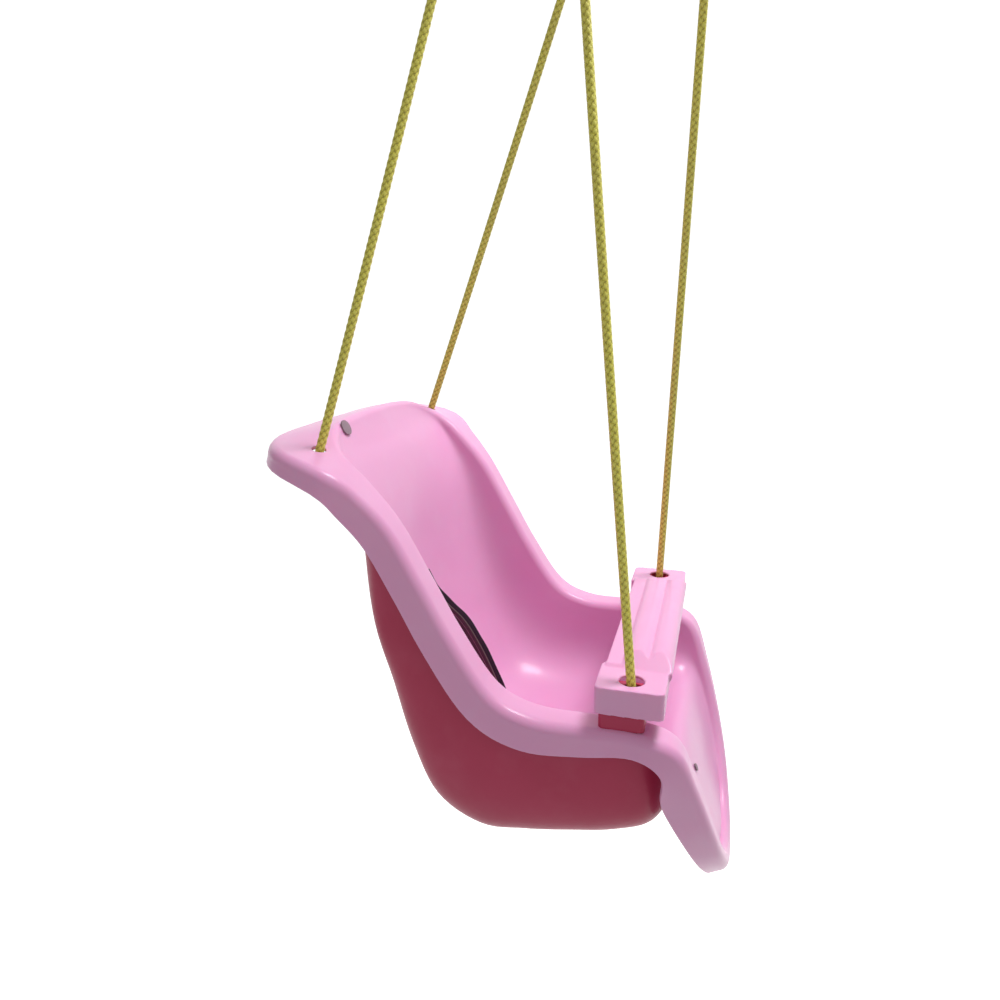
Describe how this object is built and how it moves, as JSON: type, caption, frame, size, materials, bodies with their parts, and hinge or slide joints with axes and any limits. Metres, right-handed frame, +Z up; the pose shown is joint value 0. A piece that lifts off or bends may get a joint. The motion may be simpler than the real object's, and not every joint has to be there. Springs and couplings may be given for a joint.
{
  "type": "toddler bucket swing",
  "caption": "Moulded toddler bucket swing seat with a lifting guard bar, hung on ropes from a bar and a swivel eye in an open ceiling hook.",
  "frame": {"origin": "on the ceiling hook's shank axis, in the face of the beam it is screwed into", "axes": "+X the way the child faces, +Y the child's left, +Z up along the hook's shank"},
  "size_m": [0.4779, 0.3756, 1.3234],
  "materials": {
    "seat_pink": "glossy pale pink moulding",
    "tub_rose": "deep rose moulding",
    "guard_pink": "glossy pale pink moulding",
    "rope_yellow": "solid-braid polypropylene cord",
    "webbing": "woven belt webbing",
    "plug_black": "fine grained",
    "zinc_steel": "bright zinc plated",
    "rivet_grey": "dull grey snap rivet"
  },
  "bodies": {
    "hook": {"ceiling_hook": "zinc_steel"},
    "swivel": {"swivel_eye": "zinc_steel", "eye_nut": "zinc_steel"},
    "seat": {"hang_bar": "zinc_steel", "rope_rear_right": "rope_yellow", "rope_rear_left": "rope_yellow", "rope_front_right": "rope_yellow", "rope_front_left": "rope_yellow", "knot_top_rear_right": "rope_yellow", "knot_top_rear_left": "rope_yellow", "knot_top_front_right": "rope_yellow", "knot_top_front_left": "rope_yellow", "knot_seat_rear_right": "rope_yellow", "knot_seat_rear_left": "rope_yellow", "knot_seat_front_right": "rope_yellow", "knot_seat_front_left": "rope_yellow", "knot_washers": "zinc_steel", "seat_shell": "seat_pink", "outer_tub": "tub_rose", "tub_rivets": "zinc_steel", "guard_saddle_right": "tub_rose", "guard_saddle_left": "tub_rose", "back_rivet": "rivet_grey", "apron_rivet": "rivet_grey", "belt_strap": "webbing", "belt_plug": "plug_black", "belt_anchor": "zinc_steel"},
    "guard": {"guard_bar": "guard_pink"}
  },
  "joints": [
    {"name": "swing", "type": "hinge", "parent": "hook", "child": "swivel", "pos_m": [0, 0, -0.055], "axis": [0, 1, 0], "range_deg": [-35, 35]},
    {"name": "turn", "type": "hinge", "parent": "swivel", "child": "seat", "pos_m": [0.00337, 0, -0.09787], "axis": [-0.0785, 0, 0.9969], "range_deg": [-90, 90]},
    {"name": "guard_lift", "type": "slide", "parent": "seat", "child": "guard", "axis": [-0.1232, 0, 0.9924], "range_m": [0, 0.05]}
  ]
}
